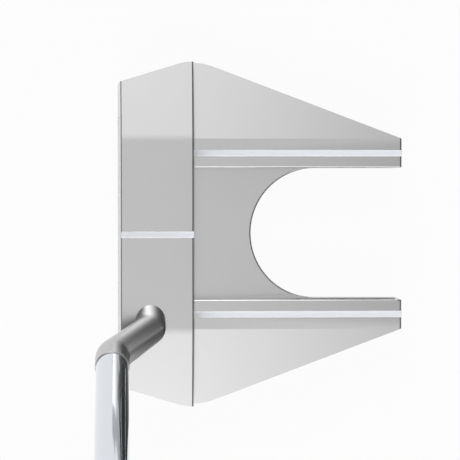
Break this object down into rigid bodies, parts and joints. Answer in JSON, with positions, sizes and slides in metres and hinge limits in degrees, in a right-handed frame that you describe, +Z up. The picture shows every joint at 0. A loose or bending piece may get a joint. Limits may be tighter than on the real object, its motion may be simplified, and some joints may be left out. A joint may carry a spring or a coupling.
{
  "type": "mallet putter",
  "caption": "Golf putter with a two-wing mallet head, a slant neck, a stepped steel shaft and a flat-fronted rubber grip, for rolling a ball along a green.",
  "frame": {"origin": "on the flat of the sole, on the centre line, 30 mm behind the leading edge", "axes": "+X from the face to the rear, +Y from the heel to the toe, +Z up from the ground"},
  "size_m": [0.1022, 0.3761, 0.8147],
  "materials": {
    "head": "satin, fine bead blast",
    "insert": "moulded urethane",
    "pad": "soft elastomer",
    "neck": "satin",
    "shaft": "polished chrome plate",
    "tape": "paper tape",
    "grip": "moulded matt",
    "weights": "turned",
    "paint": "paint fill"
  },
  "bodies": {
    "root": {"head_body": "head", "face_insert": "insert", "insert_backing": "pad", "slant_neck": "neck", "shaft_tube": "shaft", "grip_tape": "tape", "grip_sleeve": "grip", "grip_cap": "grip", "toe_weight": "weights", "heel_weight": "weights", "sight_line_front": "paint", "sight_line_toe": "paint", "sight_line_heel": "paint"}
  },
  "joints": []
}
